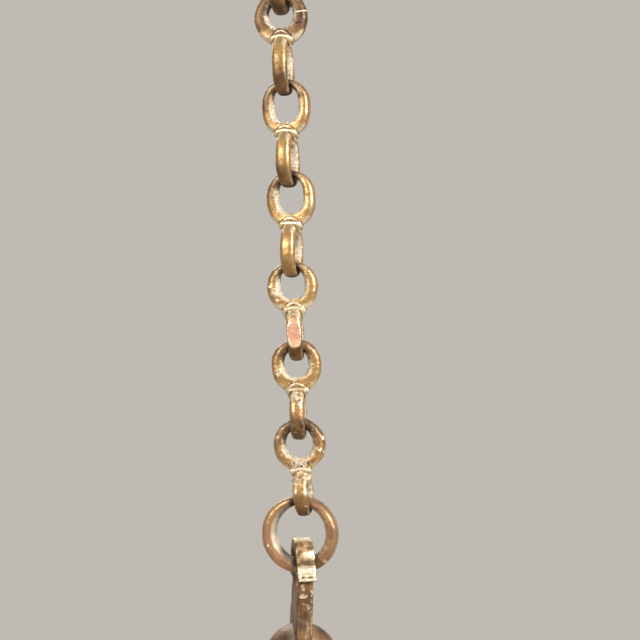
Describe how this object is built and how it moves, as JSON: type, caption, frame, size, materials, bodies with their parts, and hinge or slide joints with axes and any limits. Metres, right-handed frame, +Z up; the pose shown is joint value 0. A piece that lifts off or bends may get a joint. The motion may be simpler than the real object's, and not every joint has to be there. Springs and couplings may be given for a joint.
{
  "type": "hanging chain oil lamp",
  "caption": "Hanging oil lamp in aged brass: a chain of cast crossed-ring links with beaded collars, a suspension ring, a domed head with a flat lug, a turned stem and a spouted oil bowl",
  "frame": {"origin": "centre of the free eye of the top link, from which the lamp hangs", "axes": "+Z up along the chain, +Y along the hole of that eye and away from the viewer, +X to the viewer's right"},
  "size_m": [0.1576, 0.1507, 0.4729],
  "materials": {
    "chain_brass": "cast by hand, aged brown patina worn to gold on the collars",
    "lamp_brass": "turned and cast, aged brown patina",
    "rod_brass": "dull",
    "washer_fibre": "oil-soaked"
  },
  "bodies": {
    "top_link": {"top_link": "chain_brass"},
    "chain_link_1": {"chain_link_1": "chain_brass"},
    "chain_link_2": {"chain_link_2": "chain_brass"},
    "chain_link_3": {"chain_link_3": "chain_brass"},
    "chain_link_4": {"chain_link_4": "chain_brass"},
    "chain_link_5": {"chain_link_5": "chain_brass"},
    "chain_link_6": {"chain_link_6": "chain_brass"},
    "suspension_ring": {"suspension_ring": "chain_brass"},
    "lamp": {"domed_head": "lamp_brass", "stem_vase": "lamp_brass", "stem_collar": "lamp_brass", "stem_spindle": "lamp_brass", "upper_washer": "washer_fibre", "oil_bowl": "lamp_brass", "lower_washer": "washer_fibre", "under_collar": "lamp_brass", "round_nut": "rod_brass", "drip_cup": "lamp_brass", "pendant_finial": "lamp_brass", "tie_rod": "rod_brass"}
  },
  "joints": [
    {"name": "chain_link_1_swing", "type": "hinge", "parent": "top_link", "child": "chain_link_1", "pos_m": [0, 0, -0.0321], "axis": [0, 1, 0], "range_deg": [-30, 30]},
    {"name": "chain_link_2_swing", "type": "hinge", "parent": "chain_link_1", "child": "chain_link_2", "pos_m": [0, 0, -0.0574], "axis": [1, 0, 0], "range_deg": [-30, 30]},
    {"name": "chain_link_3_swing", "type": "hinge", "parent": "chain_link_2", "child": "chain_link_3", "pos_m": [0.0011, -0.00002, -0.10521], "axis": [0.0349, 0.9994, 0], "range_deg": [-30, 30]},
    {"name": "chain_link_4_swing", "type": "hinge", "parent": "chain_link_3", "child": "chain_link_4", "pos_m": [0.00013, 0.00002, -0.13309], "axis": [0.9988, -0.0349, -0.0349], "range_deg": [-30, 30]},
    {"name": "chain_link_5_swing", "type": "hinge", "parent": "chain_link_4", "child": "chain_link_5", "pos_m": [0.0001, 0.00001, -0.17645], "axis": [-0.1392, 0.9903, 0], "range_deg": [-30, 30]},
    {"name": "chain_link_6_swing", "type": "hinge", "parent": "chain_link_5", "child": "chain_link_6", "pos_m": [-0.0001, -0.00001, -0.19955], "axis": [0.9902, 0.1392, -0.0087], "range_deg": [-30, 30]},
    {"name": "suspension_ring_swing", "type": "hinge", "parent": "chain_link_6", "child": "suspension_ring", "pos_m": [-0.0012, 0, -0.2474], "axis": [0.0872, 0.9962, 0], "range_deg": [-30, 30]},
    {"name": "lamp_swing", "type": "hinge", "parent": "suspension_ring", "child": "lamp", "pos_m": [-0.0007, 0, -0.26295], "axis": [0.9511, 0.309, 0], "range_deg": [-30, 30]}
  ]
}
